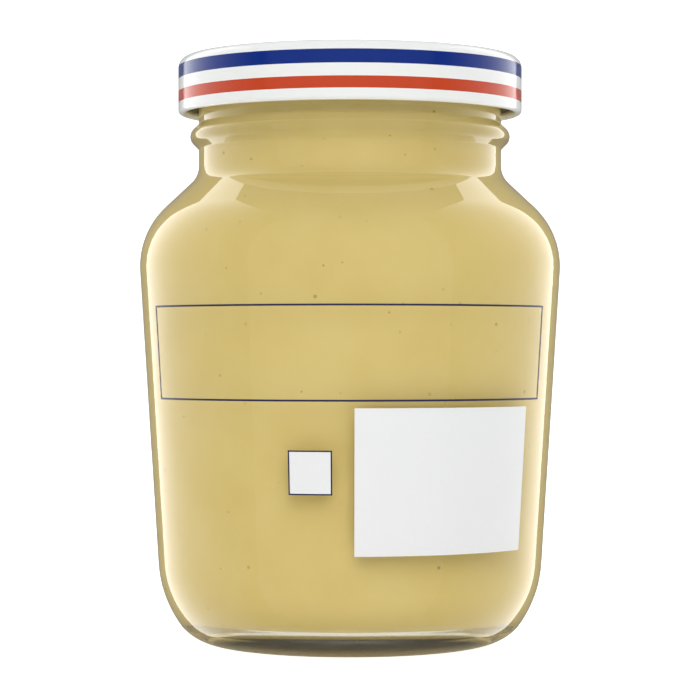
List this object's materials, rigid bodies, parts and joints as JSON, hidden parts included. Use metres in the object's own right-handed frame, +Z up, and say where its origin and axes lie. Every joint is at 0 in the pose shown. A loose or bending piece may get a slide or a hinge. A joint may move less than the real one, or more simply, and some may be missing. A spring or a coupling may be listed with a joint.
{
  "type": "mustard jar",
  "caption": "Clear glass jar of smooth pale mustard, with a beaded neck, sloping shoulder, tapered body, blank printed fields and a striped white twist-off cap.",
  "frame": {"origin": "on the floor, under the middle of the foot ring", "axes": "+Z up along the jar's axis of revolution; -Y is the side with the printed fields; +X is to the right seen from that side"},
  "size_m": [0.0684, 0.0684, 0.0953],
  "materials": {
    "glass": "clear flint glass, smooth and polished",
    "mustard": "smooth pale mustard with a few tiny dark specks, wet where it touches the glass",
    "cap_enamel": "white gloss enamel on tinplate with a blue stripe above a red stripe round the skirt",
    "white_print": "opaque white ink, satin",
    "navy_print": "navy ink, satin"
  },
  "bodies": {
    "root": {"jar": "glass", "mustard": "mustard", "lid": "cap_enamel", "label_panel": "white_print", "label_square": "white_print", "label_square_rule": "navy_print", "label_frame": "navy_print"}
  },
  "joints": []
}
